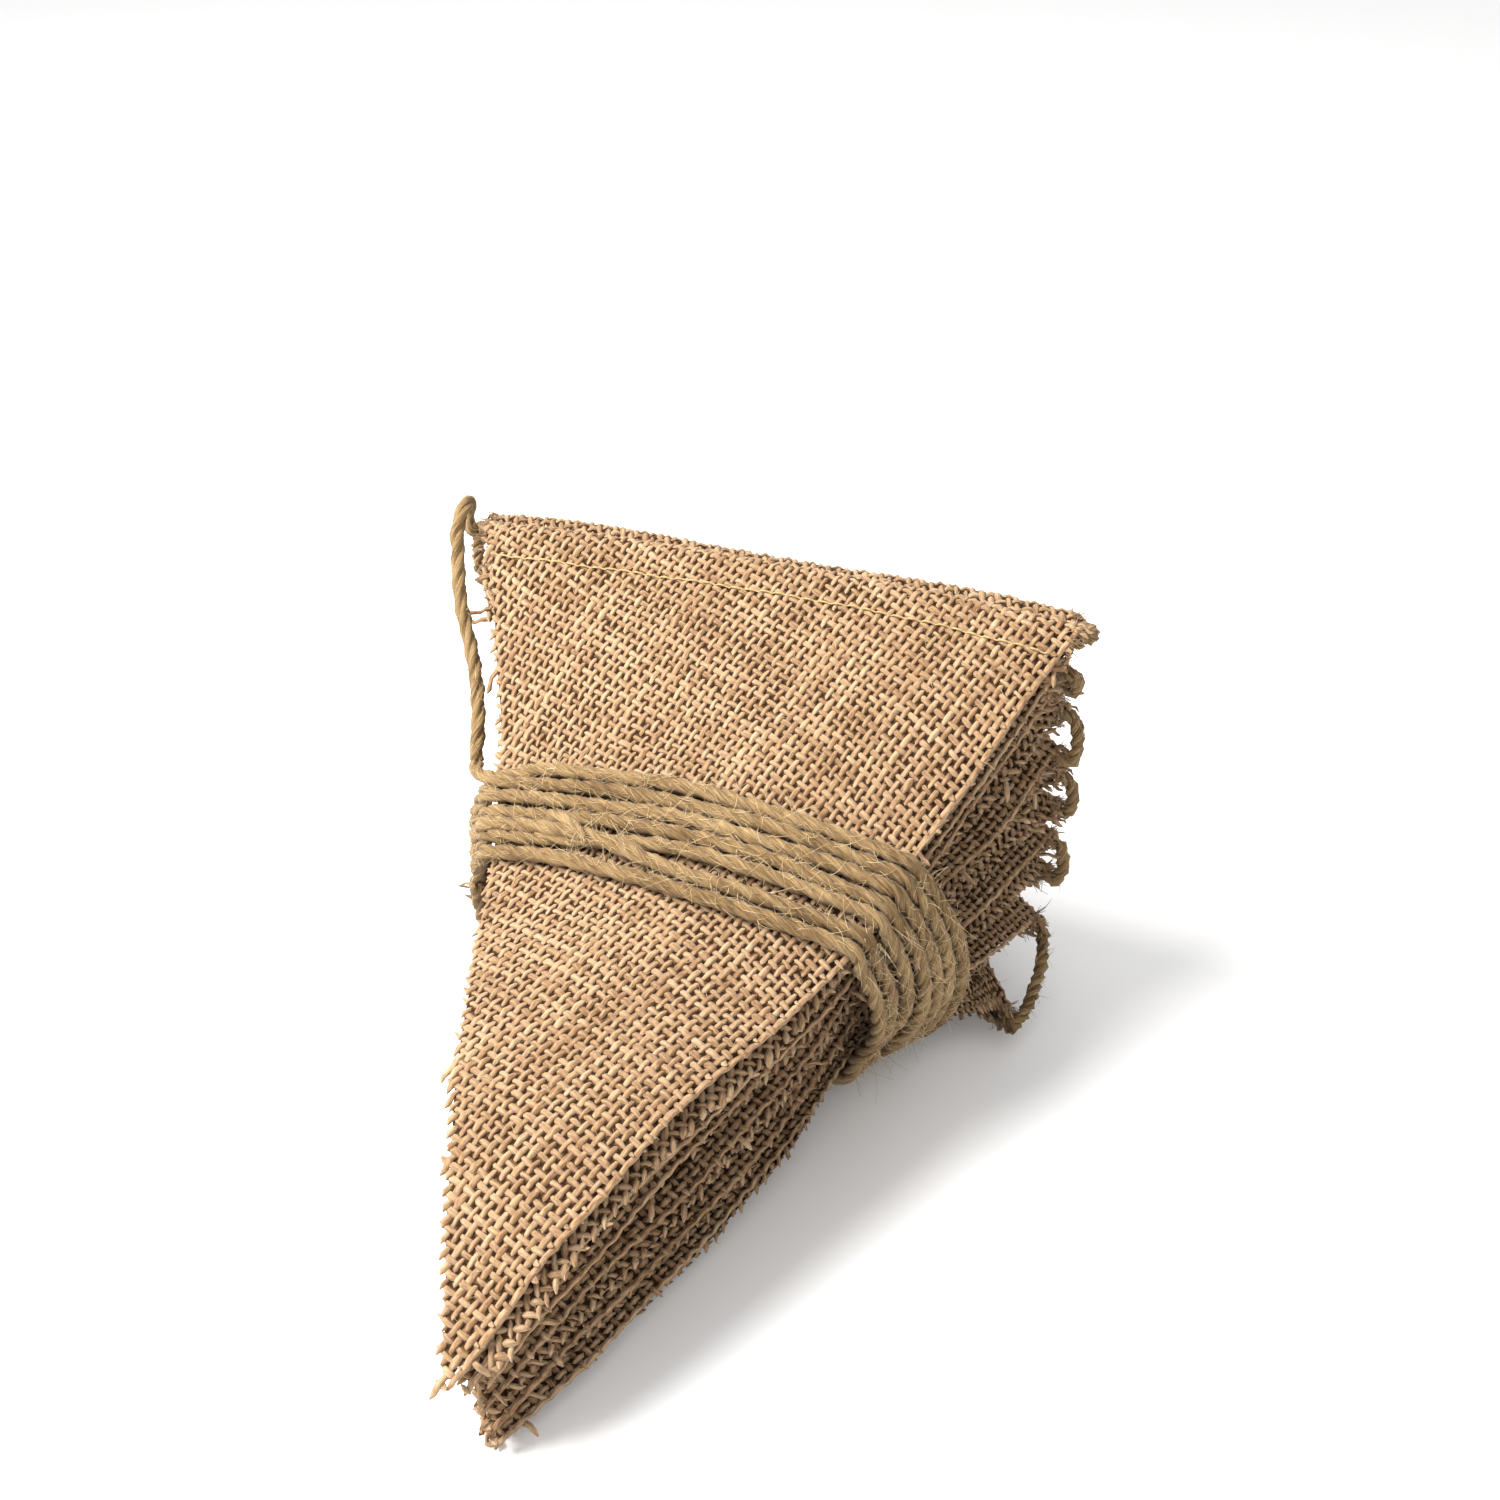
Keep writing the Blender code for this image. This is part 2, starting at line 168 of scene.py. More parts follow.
# Where each turn lies across the band at eight places round the stack, from its start on the left: at the
# left corner, on the top at its left, middle and right, at the right corner, on the right side, beneath and
# on the left side. The lift is how far it rides over its neighbours at the same places.
Turn = namedtuple("Turn", "places lifts")
TURNS = (
    Turn((12.0, 12.4, 13.4, 12.8, 11.6, 9.6, 9.4, 10.0), (0.3, 0, 0, 0, 0, 0, 0, 0)),
    Turn((8.6, 8.6, 9.9, 9.4, 8.2, 6.4, 6.4, 6.4), (0, 0, 0, 0.2, 0, 0, 0, 0)),
    Turn((5.1, 4.8, 6.3, 6.0, 4.6, 3.2, 3.4, 2.8), (0.6, 0.2, 0, 0, 0.4, 0, 0, 0)),
    Turn((1.6, 1.1, 2.7, 2.5, 1.1, 0.0, 0.0, -0.6), (0, 0, 0, 0, 0, 0, 0, 0)),
    Turn((-5.2, -4.4, -1.0, -0.9, -2.6, -3.3, -3.6, -2.6), (0, 0, 0, 0, 0, 0, 0, 0)),
    Turn((-1.8, -2.6, -6.6, -7.0, -7.0, -6.9, -7.2, -8.4), (0.8, 2.6, 0.8, 0, 0.2, 0, 0, 0)),
    Turn((-9.0, -8.7, -10.4, -11.0, -11.2, -10.8, -10.8, -10.8), (0, 0, 0, 0, 0, 0, 0, 0)),
)

# Directions of those eight places, in degrees round the section, clockwise from the left corner
TURN_ANGLES = (150.0, 122.0, 90.0, 58.0, 30.0, -15.0, -90.0, -165.0)

# Twine: three plies loosely twisted together, as shares of its diameter, and the length of one twist of the
# twine outside and of the cord in the hems
PLIES = 3
PLY_OFFSET = 0.215
PLY_RADIUS = 0.315
TWIST_PITCH = 18.0
HEM_CORD_PITCH = 9.0

# How far round the twine, from its outward side, hairs stand, and the turn's point where the tail joins it
HAIR_SPREAD = 1.4
TAIL_JOIN_POINT = 14

# The cord: where its points are between the two ends of a hem, how far it runs straight past them, and how
# far its loops reach at least, with the share of their height that they reach further
COLUMN_PLACES = (-1.0, -0.8, -0.44, 0.0, 0.44, 0.8, 1.0)
EXIT_RUN = 1.4
LOOP_REACH = 1.1
LOOP_REACH_SHARE = 0.26
LOOP_STEPS = 6

# The cord's free tail: it curls over outside the top hem's left end, then runs straight down to the winding
TAIL_ROUTE = (
    (-78.1, 75.5, 111.0),
    (-79.8, 75.5, 111.2),
    (-81.4, 76.6, 112.6),
    (-81.8, 78.2, 115.0),
    (-81.2, 77.3, 117.3),
    (-80.4, 74.8, 118.0),
    (-80.2, 71.6, 116.4),
    (-80.2, 69.4, 113.0),
    (-79.2, 67.2, 109.4),
    (-77.6, 63.6, 104.4),
    (-75.6, 60.2, 99.6),
    (-73.0, 57.0, 95.4),
    (-70.0, 53.5, 91.0),
    (-66.0, 48.0, 84.8),
    (-62.6, 41.8, 78.6),
    (-60.6, 36.4, 73.6),
    (-59.4, 33.6, 71.2),
)

# The winding's own end, which comes out between two turns on the top and lies over them
LOOSE_END = (
    (-31.0, 16.6, 74.2),
    (-27.6, 15.0, 75.8),
    (-24.0, 13.0, 76.9),
    (-20.4, 10.8, 76.6),
    (-18.4, 9.8, 75.8),
)

# Middle of the bundle's outline, seen from above, which is the part's origin
CENTRE = np.array((-3.6, 5.4, 0.0))

# The camera, in millimetres in the bundle's own frame, as the form above is
CAMERA_PLACE = (130.68, -272.68, 300.06)
CAMERA_TARGET = (-41.08, 167.84, 0.0)
CAMERA_LENS = 42.14


def in_scene(points):
    """Points of the bundle, in millimetres, as places in the scene."""
    return (np.asarray(points) - CENTRE) * MM


def unit(vectors):
    return vectors / np.maximum(np.linalg.norm(vectors, axis=-1, keepdims=True), 1e-9)


# The form of the stack


def smoothed(name):
    """One column of STATIONS, read every HEIGHT_STEP along the bundle and rounded at its corners."""
    places = [station.y for station in STATIONS]
    fine = np.arange(places[0], places[-1] + HEIGHT_STEP, HEIGHT_STEP)
    raw = np.interp(fine, places, [getattr(station, name) for station in STATIONS])
    reach = SMOOTHING_REACH
    window = np.hanning(2 * reach + 3)[1:-1]
    before = 2 * raw[0] - raw[reach:0:-1]
    after = 2 * raw[-1] - raw[-2:-reach - 2:-1]
    rounded = np.convolve(np.concatenate([before, raw, after]), window / window.sum(), "valid")
    return fine, rounded


PROFILES = {name: smoothed(name) for name in ("top_edge", "top_crown", "bottom", "bottom_lift")}


def half_width(y):
    """Half the stack's nominal width at a place along it."""
    share = (y + 112) / 185
    return np.clip(share * PENNANT_WIDTH / 2, 14, 78)


def height(index, x, y):
    """Height of a pennant's middle surface over the place (x, y)."""
    across = np.clip(x / half_width(y), -1.2, 1.2)
    profile = {name: np.interp(y, *PROFILES[name]) for name in PROFILES}
    top = profile["top_edge"] + profile["top_crown"] * (1 - across**2)
    bottom = profile["bottom"] + profile["bottom_lift"] * np.abs(across) ** LIFT_POWER
    level = PENNANTS[index].level
    if index in (0, len(PENNANTS) - 1):
        wave = 0.0
    else:
        pitch = (top - bottom) / (len(PENNANTS) - 1)
        turn = 1 if index % 2 else -1
        wave = WAVE_SHARE * pitch * np.sin(x / 21 + 2.4 * index + turn * y / 37)
    return bottom + level * (top - bottom) + wave


def spine(index):
    """Run along the cloth from the tip, against y, down the middle of a pennant."""
    tip_y = PENNANTS[index].tip_y
    y = np.arange(tip_y, tip_y + PENNANT_LENGTH + 15, 0.25)
    z = height(index, np.zeros_like(y), y)
    run = np.concatenate([[0.0], np.cumsum(np.hypot(np.diff(y), np.diff(z)))])
    return run, y


SPINES = [spine(index) for index in range(len(PENNANTS))]


def on_surface(index, place):
    """The place moved up or down onto a pennant's middle surface."""
    place = place.copy()
    place[..., 2] = height(index, place[..., 0], place[..., 1])
    return place


def face(index, u, v):
    """Places of flat cloth on the face of a pennant."""
    pennant = PENNANTS[index]
    share = np.clip(v / PENNANT_LENGTH, 0.0, 1.0)
    run, spine_y = SPINES[index]
    beyond = np.minimum(v, 0.0)
    y = np.interp(v, run, spine_y) + beyond * 0.8
    squeeze = WAIST_SHARE + WAIST_SHARE_LOW * (1 - pennant.level) ** 2
    waist = 1 - squeeze * np.exp(-(((y - WAIST_Y) / WAIST_REACH) ** 2))
    edge_share = 2 * np.abs(u) / PENNANT_WIDTH
    gather = share ** (PULL_POWER_ALONG - PULL_POWER_ACROSS)
    y = y - pennant.corner_pull * edge_share**PULL_POWER_ACROSS * gather
    x = pennant.tip_x * (1 - share) + pennant.hem_x * share**SHIFT_POWER + u * waist
    return np.stack([x, y, height(index, x, y)], axis=-1)


def normal(index, place):
    """Upward unit normal of a pennant's surface, from small steps to the right and ahead."""
    step = 0.5
    right = on_surface(index, place + np.array([step, 0.0, 0.0])) - place
    ahead = on_surface(index, place + np.array([0.0, step, 0.0])) - place
    return unit(np.cross(right, ahead))


def hem_frame(index, u):
    """Where the cloth starts to turn round the cord, with unit axes there: ahead, square to the hem, up."""
    v = np.full_like(u, FOLD_START)
    start = face(index, u, v)
    edge = PENNANT_WIDTH / 2
    further = np.maximum(np.minimum(u + HEM_LINE_REACH, edge), u + 0.1)
    nearer = np.minimum(np.maximum(u - HEM_LINE_REACH, -edge), u - 0.1)
    beside = face(index, further, v) - face(index, nearer, v)
    upward = normal(index, start)
    return start, unit(np.cross(upward, beside)), upward


def on_cloth(index, u, v):
    """Places and outward normals of flat cloth on a pennant, through its hem's fold and along its flap."""
    on_face = v <= FOLD_START
    places = face(index, u, np.minimum(v, FOLD_START))
    outward = normal(index, places)
    start, ahead, upward = hem_frame(index, u)
    angle = ((v - FOLD_START) / FOLD_RADIUS)[..., None]
    turned = np.sin(angle) * ahead + np.cos(angle) * upward
    in_fold = ~on_face & (v <= FOLD_END)
    places[in_fold] = (start + FOLD_RADIUS * (turned - upward))[in_fold]
    outward[in_fold] = turned[in_fold]
    on_flap = v > FOLD_END
    if on_flap.any():
        backs, belows, runs = flap_line()
        back = np.interp(v[on_flap], runs, backs)[:, None]
        below = np.interp(v[on_flap], runs, belows)[:, None]
        spread = 1 - (1 - FLAP_SPREAD) * np.minimum((v[on_flap] - FOLD_END) / 8.0, 1.0)
        start, ahead, _ = hem_frame(index, u[on_flap] * spread)
        flap_face = on_surface(index, start - (back - FOLD_RADIUS) * ahead)
        flap_normal = normal(index, flap_face)
        places[on_flap] = flap_face - below * flap_normal
        outward[on_flap] = -flap_normal
    return places, outward


def flap_line():
    """The turned flap's path as distances back from the fold and below the face, against v."""
    first = (FOLD_RADIUS * (1 - math.sin(FOLD_SWEEP)), FOLD_RADIUS * (1 - math.cos(FOLD_SWEEP)))
    path = np.array((first,) + FLAP_PATH)
    runs = FOLD_END + np.concatenate([[0.0], np.cumsum(np.linalg.norm(np.diff(path, axis=0), axis=1))])
    return path[:, 0], path[:, 1], runs


CLOTH_END = flap_line()[2][-1]

# The flat cloth's outline, as half planes: how far along (u, v) each one reaches
OUTLINE = (
    (0.0, -1.0, -2.0),
    (0.0, 1.0, CLOTH_END),
    (PENNANT_LENGTH, -PENNANT_WIDTH / 2, 0.0),
    (-PENNANT_LENGTH, -PENNANT_WIDTH / 2, 0.0),
    (1.0, 0.0, PENNANT_WIDTH / 2),
    (-1.0, 0.0, PENNANT_WIDTH / 2),
)


def wander(index, u, v):
    """Slow drift of the yarns from straight lines, as shifts of u and v."""
    du = 0.55 * np.sin(v / 15 + 1.9 * index) + 0.3 * np.sin(u / 6.3 + v / 9.7 + index)
    dv = 0.5 * np.sin(u / 17 + 0.7 * index) + 0.35 * np.sin(v / 7.1 - u / 10.9 + 2.3 * index)
    ease = np.clip(v / 25, 0, 1)
    return du * ease, dv * ease


# Meshes


def mesh_object(name, places, quads, uv, tone, material):
    """An object from places in millimetres, quads, a UV pair for each corner and a tone for each place.

    Nothing goes below the surface that the bundle lies on.
    """
    mesh = bpy.data.meshes.new(name)
    mesh.vertices.add(len(places))
    places = np.stack([places[:, 0], places[:, 1], np.maximum(places[:, 2], 0.0)], axis=1)
    mesh.vertices.foreach_set("co", in_scene(places).astype(np.float32).ravel())
    mesh.loops.add(quads.size)
    mesh.loops.foreach_set("vertex_index", quads.astype(np.int32).ravel())
    mesh.polygons.add(len(quads))
    mesh.polygons.foreach_set("loop_start", np.arange(0, quads.size, 4, dtype=np.int32))
    mesh.update(calc_edges=True)
    layer = mesh.uv_layers.new(name="thread")
    layer.data.foreach_set("uv", uv.astype(np.float32).ravel())
    attribute = mesh.attributes.new("tone", "FLOAT", "POINT")
    attribute.data.foreach_set("value", tone.astype(np.float32))
    mesh.shade_smooth()
    mesh.materials.append(material)
    obj = bpy.data.objects.new(name, mesh)
    bpy.context.scene.collection.objects.link(obj)
    return obj


def tubes(name, centres, across, upward, radius, linked, run, tone, sides, material):
    """Tubes along rows of centres: a ring at each, joined to the next one where linked."""
    turn = np.arange(sides) * 2 * math.pi / sides
    ring = (
        centres[:, None, :]
        + (radius[:, 0, None] * np.cos(turn))[..., None] * across[:, None, :]
        + (radius[:, 1, None] * np.sin(turn))[..., None] * upward[:, None, :]
    )
    first = np.flatnonzero(linked)
    here = np.arange(sides)
    after = (here + 1) % sides
    low, high = first[:, None] * sides, (first[:, None] + 1) * sides
    quads = np.stack([low + here, low + after, high + after, high + here], axis=-1).reshape(-1, 4)
    around = np.stack([here, here + 1, here + 1, here], axis=-1) / sides
    uv = np.empty((len(first), sides, 4, 2))
    uv[..., 0] = around
    uv[..., :2, 1] = run[first, None, None]
    uv[..., 2:, 1] = run[first + 1, None, None]
    return mesh_object(name, ring.reshape(-1, 3), quads, uv, np.repeat(tone, sides), material)


def tangents(points, linked):
    """Unit directions along rows of points that are joined to the next one where linked."""
    step = np.zeros_like(points)
    joined = np.flatnonzero(linked)
    step[joined] += points[joined + 1] - points[joined]
    step[joined + 1] += points[joined + 1] - points[joined]
    return unit(step)


# Cloth


def yarn_rows(angle, pitch, other_pitch, rng):
    """Yarns of one direction, clipped to the outline and frayed: flat places, wave, owner and step number."""
    ahead = np.array([math.cos(angle), math.sin(angle)])
    side = np.array([math.sin(angle), -math.cos(angle)])
    numbers = np.arange(-130, 131)
    base = numbers[:, None] * pitch * side
    low, high = np.full(len(numbers), -1e3), np.full(len(numbers), 1e3)
    for nu, nv, limit in OUTLINE:
        rate = nu * ahead[0] + nv * ahead[1]
        room = limit - base @ np.array([nu, nv])
        if abs(rate) < 1e-9:
            high = np.where(room < 0, -1e3, high)
        elif rate > 0:
            high = np.minimum(high, room / rate)
        else:
            low = np.maximum(low, room / rate)
    frays = rng.random((2, len(numbers))) * FRAY_USUAL
    frays += (rng.random((2, len(numbers))) < FRAY_LONG_SHARE) * rng.random((2, len(numbers))) * FRAY_LONG
    for row, limit in enumerate((low, high)):
        end_v = base[:, 1] + limit * ahead[1]
        at_hem = (end_v > PENNANT_LENGTH - HEM_BAND) & (end_v < CLOTH_END - 1.0)
        frays[row] += at_hem * rng.random(len(numbers)) * FRAY_HEM
    whole = high - low > 1.0
    numbers, base, inner_low, inner_high = numbers[whole], base[whole], low[whole], high[whole]
    half = other_pitch / 2
    first = np.ceil((inner_low - frays[0, whole]) / half).astype(int)
    last = np.floor((inner_high + frays[1, whole]) / half).astype(int)
    counts = np.maximum(last - first + 1, 2)
    owner = np.repeat(np.arange(len(numbers)), counts)
    step = np.arange(counts.sum()) - np.repeat(np.cumsum(counts) - counts, counts) + np.repeat(first, counts)
    along = step * half
    flat = base[owner] + along[:, None] * ahead
    over = np.cos(math.pi * along / other_pitch) * np.where(numbers[owner] % 2 == 0, 1.0, -1.0)
    outside = np.maximum(inner_low[owner] - along, along - inner_high[owner])
    return flat, over, owner, step, numbers[owner], np.maximum(outside, 0.0)


def shown(index, flat):
    """Which flat places carry real yarns: all of the top pennant, and the others' edges and hems."""
    if index == 0:
        return np.ones(len(flat), bool)
    u, v = flat[:, 0], flat[:, 1]
    edge = PENNANT_WIDTH / 2 * v / PENNANT_LENGTH - np.abs(u)
    band = EDGE_BAND + EDGE_BAND_GROWTH * np.clip(v / PENNANT_LENGTH, 0, 1)
    if index == 1:
        band = SECOND_EDGE_BAND
    in_hem = (v > PENNANT_LENGTH - HEM_BAND) & (v < FOLD_END + FLAP_BAND)
    return ((edge < band) & (v < PENNANT_LENGTH)) | in_hem | (np.abs(u) > PENNANT_WIDTH / 2 - EDGE_BAND)


def make_yarns(index, kind, material, rng):
    """One direction's yarns of a pennant, waving over and under the other direction's."""
    angle = math.radians(WARP_ANGLES[index])
    if kind == "warp":
        rows = yarn_rows(angle, WARP_PITCH, WEFT_PITCH, rng)
        thickness, wave = WARP_RADIUS, WARP_WAVE
    else:
        rows = yarn_rows(angle - math.pi / 2, WEFT_PITCH, WARP_PITCH, rng)
        thickness, wave = WEFT_RADIUS, -WEFT_WAVE
    keep = shown(index, rows[0])
    flat, over, owner, step, number, outside = (row[keep] for row in rows)
    phase = rng.random(300) * 2 * math.pi
    own = phase[number + 140]
    drift_u, drift_v = wander(index, flat[:, 0], flat[:, 1])
    loose = 0.17 * np.sin(step / 5.3 + own) + 0.10 * np.sin(step / 1.9 + 3 * own)
    places, outward = on_cloth(index, flat[:, 0] + drift_u + loose, flat[:, 1] + drift_v + loose)
    linked = np.zeros(len(owner), bool)
    linked[:-1] = (owner[1:] == owner[:-1]) & (step[1:] == step[:-1] + 1)
    lift = wave * over * (1 + 0.18 * np.sin(step / 3.1 + 2 * own))
    centres = places + lift[:, None] * outward - (0.06 * outside**2)[:, None] * outward
    ahead = tangents(centres, linked)
    side = unit(np.cross(ahead, outward))
    slub = 1 + 0.16 * np.sin(own * 7) + 0.12 * np.sin(step / 4.1 + 3 * own) + 0.12 * np.sin(step * 1.3 + own)
    ends = np.ones(len(owner))
    ends[~linked] = 0.3
    ends[1:][~linked[:-1]] = 0.3
    radius = thickness * slub * ends
    radius = np.stack([radius, radius * YARN_FLATNESS], axis=1)
    run = step * (WEFT_PITCH if kind == "warp" else WARP_PITCH) / 2
    tone = 0.56 + 0.24 * np.sin(own * 13) + 0.12 * np.sin(step / 6.7 + own)
    sides = 5 if index == 0 else 4 if index < 4 else 3
    name = f"{kind}_{index + 1:02d}"
    upward = np.cross(side, ahead)
    run = run + own * 9
    yarns = tubes(name, centres, side, upward, radius, linked, run, tone, sides, material)
    return yarns, centres, ahead, outward


def make_shade_sheet(index, material):
    """The dark sheet behind a pennant's yarns, whose colour is painted shade for the holes between them, with
    the same weave and its painted shading drawn on it where there are none.
    """
    face_rows = np.linspace(4.0, FOLD_START - 1.0, 34)
    fold_rows = np.linspace(FOLD_START, FOLD_END, 8)
    flap_rows = np.linspace(FOLD_END + 3.0, CLOTH_END - 1.0, 5)
    v = np.concatenate([face_rows, fold_rows, flap_rows])
    columns = 19
    edge = np.minimum(v / PENNANT_LENGTH, 1.0) * PENNANT_WIDTH / 2 - 0.9
    u = edge[:, None] * np.linspace(-1, 1, columns)
    v = np.repeat(v[:, None], columns, axis=1)
    drift_u, drift_v = wander(index, u, v)
    places, _ = on_cloth(index, (u + drift_u).ravel(), (v + drift_v).ravel())
    angle = math.radians(WARP_ANGLES[index])
    warp_place = (u * math.sin(angle) - v * math.cos(angle)) / WARP_PITCH
    weft_place = (u * math.cos(angle) + v * math.sin(angle)) / WEFT_PITCH
    weave = np.stack([warp_place, weft_place], axis=-1).reshape(-1, 2)
    rows = len(u)
    corner = (np.arange(rows - 1)[:, None] * columns + np.arange(columns - 1)).ravel()
    quads = np.stack([corner, corner + 1, corner + columns + 1, corner + columns], axis=1)
    tone = np.full(len(places), 0.5)
    shade_sheet = mesh_object(f"backing_{index + 1:02d}", places, quads, weave[quads], tone, material)
    thick = shade_sheet.modifiers.new("thickness", "SOLIDIFY")
    thick.thickness = 0.2 * MM
    thick.offset = 0.0
    return shade_sheet, places.reshape(rows, columns, 3)


def make_stitches(index, material):
    """The seam that holds the flap: a thin thread that dips into the cloth at every stitch, on both faces."""
    pieces = []
    for name, v_line, edge in (("face", PENNANT_LENGTH - STITCH_BACK, 70.0), ("flap", FOLD_END + 5.5, 70.0)):
        u = np.arange(-edge, edge, 0.9)
        v = np.full_like(u, v_line) + 0.5 * np.sin(u / 23 + index) + 0.15 * np.sin(u / 3.1)
        places, outward = on_cloth(index, u, v)
        dip = np.abs(np.cos(math.pi * u / 3.6)) ** 8
        centres = places + (1.15 - 1.1 * dip)[:, None] * outward
        linked = np.ones(len(u), bool)
        linked[-1] = False
        ahead = tangents(centres, linked)
        side = unit(np.cross(ahead, outward))
        radius = np.full((len(u), 2), 0.24)
        tone = np.full(len(u), 0.6)
        title = f"seam_{name}_{index + 1:02d}"
        pieces.append(tubes(title, centres, side, outward, radius, linked, u, tone, 4, material))
    return pieces


def make_hairs(name, roots, ahead, outward, count, longest, rng, material, rise=0.7, lean=0.45, curl=0.85,
               thick=1.0):
    """Fine curled hairs that stand out of yarns and twine, or lie along them where their rise is small."""
    pick = rng.integers(0, len(roots), count)
    segments = 4
    length = longest * (0.25 + 0.75 * rng.random(count) ** 2)
    stray = rng.normal(size=(count, 3)) * lean
    heading = unit(outward[pick] * rise + ahead[pick] * rng.normal(size=(count, 1)) + stray)
    bend = unit(np.cross(heading, rng.normal(size=(count, 3)))) * (rng.random((count, 1)) * curl)
    share = np.linspace(0, 1, segments + 1)[None, :, None]
    offset = share * heading[:, None, :] + share**2 * bend[:, None, :]
    path = (roots[pick][:, None, :] + length[:, None, None] * offset).reshape(-1, 3)
    linked = np.ones(len(path), bool)
    linked[segments :: segments + 1] = False
    along = tangents(path, linked)
    side = unit(np.cross(along, np.array([0.31, 0.2, 0.93])))
    taper = np.linspace(1.0, 0.4, segments + 1) * thick * HAIR_RADIUS
    radius = np.tile(taper, count)[:, None] * np.ones((1, 2))
    tone = np.repeat(rng.random(count), segments + 1)
    run = np.tile(np.arange(segments + 1.0), count)
    return tubes(name, path, side, np.cross(side, along), radius, linked, run, tone, 3, material)


def hair_roots(centres, side, outward, reach, rng):
    """Places on a twine's surface for hairs to stand on, each with its own direction away from the twine."""
    centres, side, outward = (np.repeat(rows, 3, axis=0) for rows in (centres, side, outward))
    turn = rng.uniform(-HAIR_SPREAD, HAIR_SPREAD, (len(centres), 1))
    away = np.cos(turn) * outward + np.sin(turn) * side
    return centres + away * reach, away


def make_hem_tufts(index, rng, material):
    """Loose fibres that fill the frayed ends of a hem, round the cord."""
    places = 400
    u = rng.choice([-1.0, 1.0], places) * (PENNANT_WIDTH / 2 - 1.5)
    v = rng.uniform(PENNANT_LENGTH - HEM_BAND, FOLD_END + FLAP_BAND, places)
    roots, outward = on_cloth(index, u, v)
    away = np.sign(u)[:, None] * np.array([1.0, 0.0, 0.0])
    name = f"tufts_{index + 1:02d}"
    return make_hairs(name, roots, outward, away, 170, 5.0, rng, material, rise=1.2, thick=2.2)


# Twine


def twist(name, centres, side, upward, diameter, run, tone, sides, material, pitch=TWIST_PITCH):
    """Three plies twisted along a line of centres, with unit axes and a diameter at each place."""
    ahead = tangents(centres, np.arange(len(centres)) < len(centres) - 1)
    rows, radii, linked, runs, tones, tilted, lifted = [], [], [], [], [], [], []
    for ply in range(PLIES):
        turn = 2 * math.pi * (run / pitch + ply / PLIES)
        out = np.cos(turn)[:, None] * side + np.sin(turn)[:, None] * upward
        swell = 1 + 0.07 * np.sin(run / 3.7 + 2.1 * ply) + 0.05 * np.sin(run / 1.6 + ply)
        rows.append(centres + out * (diameter * PLY_OFFSET * swell)[:, None])
        radius = diameter * PLY_RADIUS * swell
        radius[[0, -1]] *= 0.25
        radii.append(np.stack([radius, radius], axis=1))
        joined = np.ones(len(centres), bool)
        joined[-1] = False
        linked.append(joined)
        runs.append(run)
        tones.append(tone + 0.09 * (ply - 1))
        tilted.append(out)
        lifted.append(np.cross(ahead, out))
    rows, radii, linked, runs = (np.concatenate(part) for part in (rows, radii, linked, runs))
    tones, tilted, lifted = (np.concatenate(part) for part in (tones, tilted, lifted))
    return tubes(name, rows, tilted, lifted, radii, linked, runs, tones, sides, material)


def carried_axes(points):
    """Unit axes across a line of points, carried along it with no twist of their own."""
    linked = np.arange(len(points)) < len(points) - 1
    ahead = tangents(points, linked)
    side = np.empty_like(points)
    reference = np.array([0.0, 0.35, 0.94])
    for place, direction in enumerate(ahead):
        reference = reference - direction * (reference @ direction)
        reference = reference / np.linalg.norm(reference)
        side[place] = reference
    return side, np.cross(ahead, side)


def smooth_route(points, spacing):
    """Places at this spacing on a smooth curve through the points."""
    points = np.asarray(points, float)
    padded = np.vstack([2 * points[0] - points[1], points, 2 * points[-1] - points[-2]])
    curve = []
    for before, start, end, after in zip(padded, padded[1:], padded[2:], padded[3:]):
        for share in np.linspace(0, 1, 12, endpoint=False):
            bend = 2 * before - 5 * start + 4 * end - after
            twisted = 3 * start - before - 3 * end + after
            curve.append(start + (end - before) * share / 2 + bend * share**2 / 2 + twisted * share**3 / 2)
    curve = np.array(curve + [points[-1]])
    run = np.concatenate([[0.0], np.cumsum(np.linalg.norm(np.diff(curve, axis=0), axis=1))])
    wanted = np.linspace(0, run[-1], max(2, round(run[-1] / spacing) + 1))
    return np.stack([np.interp(wanted, run, curve[:, axis]) for axis in range(3)], axis=1)


def run_along(points):
    return np.concatenate([[0.0], np.cumsum(np.linalg.norm(np.diff(points, axis=0), axis=1))])


def winding_axes():
    """Origin of the winding's middle plane, and its unit axes: across, up in the plane, along the bundle."""
    origin = np.array([0.0, WINDING_TOP_Y, WINDING_TOP_Z])
    along = np.array([0.0, math.cos(WINDING_LEAN), math.sin(WINDING_LEAN)])
    across = np.array([1.0, 0.0, 0.0])
    return origin, across, np.cross(across, along), along


def crossing(grids, offset):
    """Where the grids' lines cross the plane at this offset along the bundle, in its axes."""
    origin, across, up, along = winding_axes()
    found = []
    for grid in grids:
        for start, end in ((grid[:-1], grid[1:]), (grid[:, :-1], grid[:, 1:])):
            before = (start - origin) @ along - offset
            after = (end - origin) @ along - offset
            cut = before * after < 0
            share = before[cut] / (before[cut] - after[cut])
            place = start[cut] + (end[cut] - start[cut]) * share[:, None] - origin
            found.append(np.stack([place @ across, place @ up], axis=1))
    return np.concatenate(found)


def taut_radii(grids, offset, angles):
    """How far out a loop pulled tight round the stack lies, in each direction from the section's centre."""
    points = crossing(grids, offset)
    turn = np.linspace(0, 2 * math.pi, 1441)[:-1]
    outward = np.stack([np.cos(turn), np.sin(turn)], axis=1)
    path = points[np.argmax(points @ outward.T, axis=0)] + WINDING_CLEARANCE * outward - WINDING_CENTRE
    bearing = np.arctan2(path[:, 1], path[:, 0])
    order = np.argsort(bearing)
    return np.interp(angles, bearing[order], np.hypot(*path.T)[order], period=2 * math.pi)


